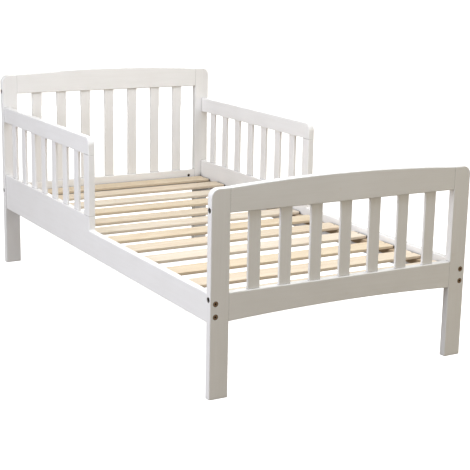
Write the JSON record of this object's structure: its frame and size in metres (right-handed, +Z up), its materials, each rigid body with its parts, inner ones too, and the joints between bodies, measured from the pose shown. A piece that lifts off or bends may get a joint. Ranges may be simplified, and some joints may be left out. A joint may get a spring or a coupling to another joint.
{
  "type": "toddler bed",
  "caption": "Low child's bed with arched slatted head and foot boards, half-length slatted side guards and a bare pine slatted base, bolted together",
  "frame": {"origin": "on the floor, under the centre of the bed's box", "axes": "+X across the bed to the right when looking from the foot to the head, +Y along it from footboard to headboard, +Z up"},
  "size_m": [0.763, 1.45, 0.6395],
  "materials": {
    "white_paint": "satin white paint over planed softwood",
    "pine": "bare planed pine with knots",
    "beech": "bare turned beech",
    "bronzed_steel": "dark bronze plating",
    "zinc_steel": "dull zinc plating"
  },
  "bodies": {
    "root": {"barrel_nuts": "bronzed_steel", "bed_slat_01": "pine", "bed_slat_02": "pine", "bed_slat_03": "pine", "bed_slat_04": "pine", "bed_slat_05": "pine", "bed_slat_06": "pine", "bed_slat_07": "pine", "bed_slat_08": "pine", "bed_slat_09": "pine", "bed_slat_10": "pine", "bed_slat_11": "pine", "bed_slat_12": "pine", "footboard_bottom_rail": "white_paint", "footboard_post_left": "white_paint", "footboard_post_right": "white_paint", "footboard_slat_1": "white_paint", "footboard_slat_2": "white_paint", "footboard_slat_3": "white_paint", "footboard_slat_4": "white_paint", "footboard_slat_5": "white_paint", "footboard_slat_6": "white_paint", "footboard_slat_7": "white_paint", "footboard_top_rail": "white_paint", "frame_bolts": "bronzed_steel", "guard_post_left": "white_paint", "guard_post_right": "white_paint", "guard_rail_left": "white_paint", "guard_rail_right": "white_paint", "guard_slat_left_1": "white_paint", "guard_slat_left_2": "white_paint", "guard_slat_left_3": "white_paint", "guard_slat_left_4": "white_paint", "guard_slat_left_5": "white_paint", "guard_slat_left_6": "white_paint", "guard_slat_left_7": "white_paint", "guard_slat_right_1": "white_paint", "guard_slat_right_2": "white_paint", "guard_slat_right_3": "white_paint", "guard_slat_right_4": "white_paint", "guard_slat_right_5": "white_paint", "guard_slat_right_6": "white_paint", "guard_slat_right_7": "white_paint", "headboard_bottom_rail": "white_paint", "headboard_post_left": "white_paint", "headboard_post_right": "white_paint", "headboard_slat_1": "white_paint", "headboard_slat_2": "white_paint", "headboard_slat_3": "white_paint", "headboard_slat_4": "white_paint", "headboard_slat_5": "white_paint", "headboard_slat_6": "white_paint", "headboard_slat_7": "white_paint", "headboard_top_rail": "white_paint", "side_rail_left": "white_paint", "side_rail_right": "white_paint", "slat_ledger_left": "pine", "slat_ledger_right": "pine", "wood_dowels": "beech", "wood_screws": "zinc_steel"}
  },
  "joints": []
}
